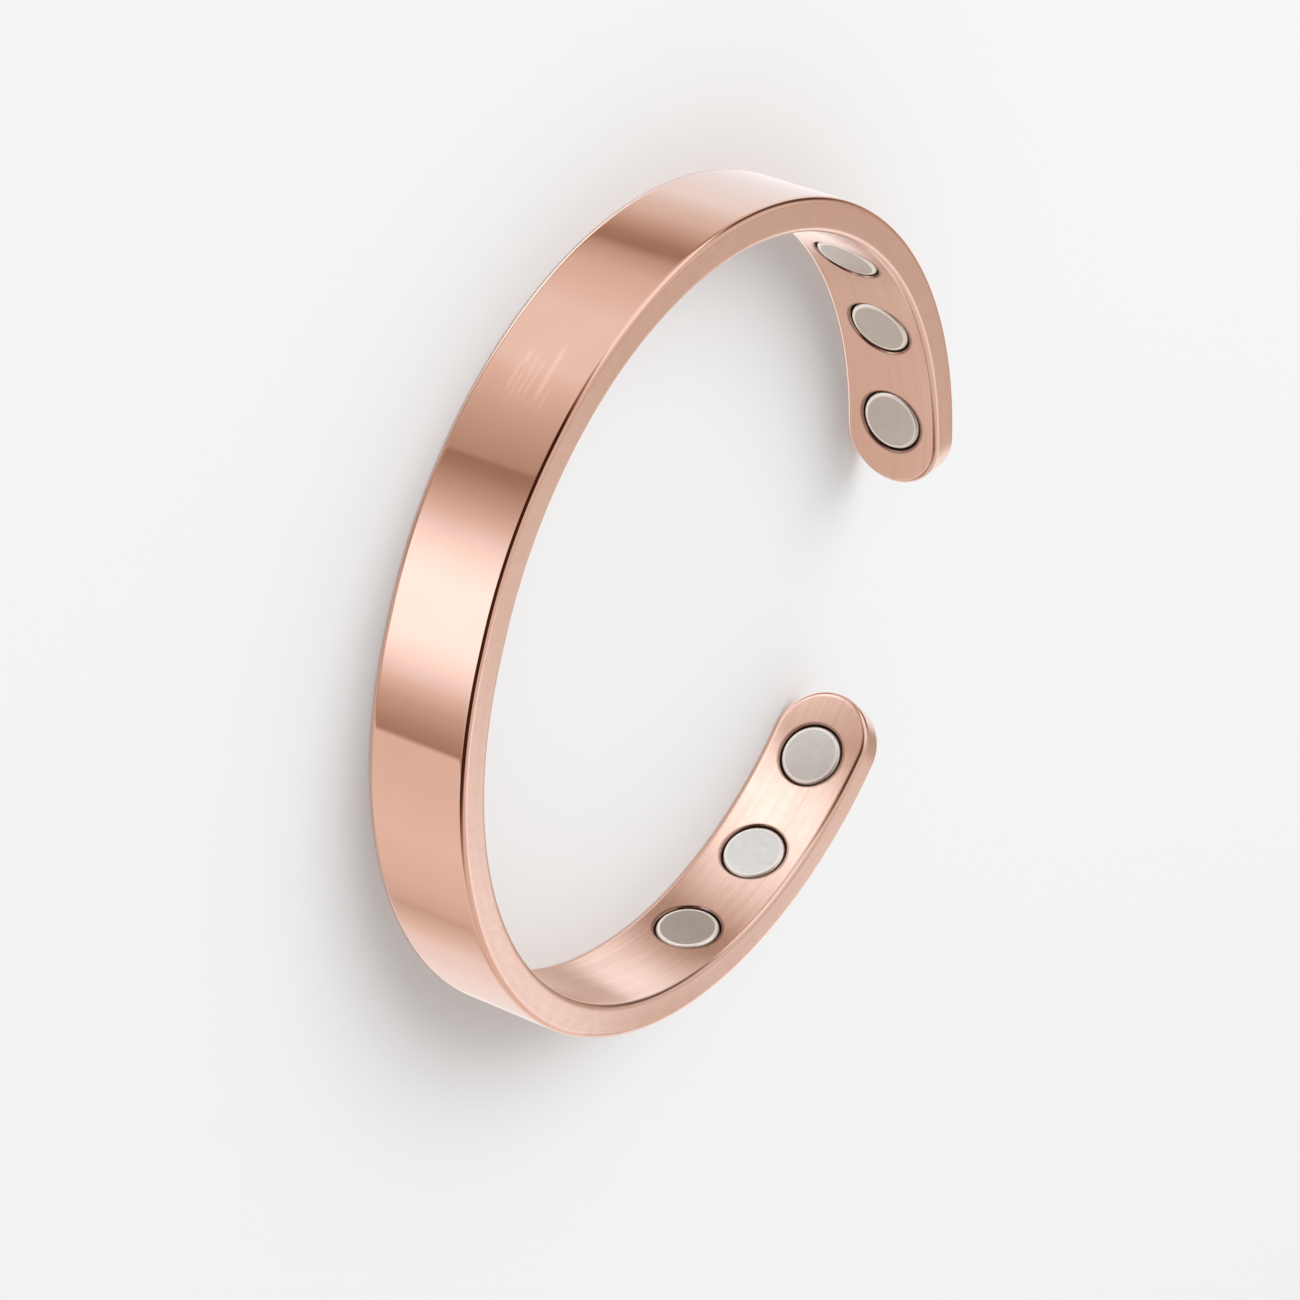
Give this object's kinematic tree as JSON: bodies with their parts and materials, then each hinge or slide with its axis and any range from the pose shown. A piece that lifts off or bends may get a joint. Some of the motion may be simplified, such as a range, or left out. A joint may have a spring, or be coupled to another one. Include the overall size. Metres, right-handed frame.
{
  "type": "magnetic bracelet",
  "caption": "Open copper cuff of flat band with round ends and small disc magnets let into the inner face near each end.",
  "frame": {"origin": "under the middle of the cuff's outer box, on the plane that its lower edge rests on", "axes": "+Z along the wrist, up as the cuff lies on its side; +X across the oval from side to side; +Y from the back of the cuff towards the gap between its tips"},
  "size_m": [0.0626, 0.06, 0.008],
  "materials": {
    "copper": "polished outside, brushed inside",
    "magnet": "satin nickel plate"
  },
  "bodies": {
    "root": {"band": "copper", "magnet_1": "magnet", "magnet_2": "magnet", "magnet_3": "magnet", "magnet_4": "magnet", "magnet_5": "magnet", "magnet_6": "magnet"}
  },
  "joints": []
}
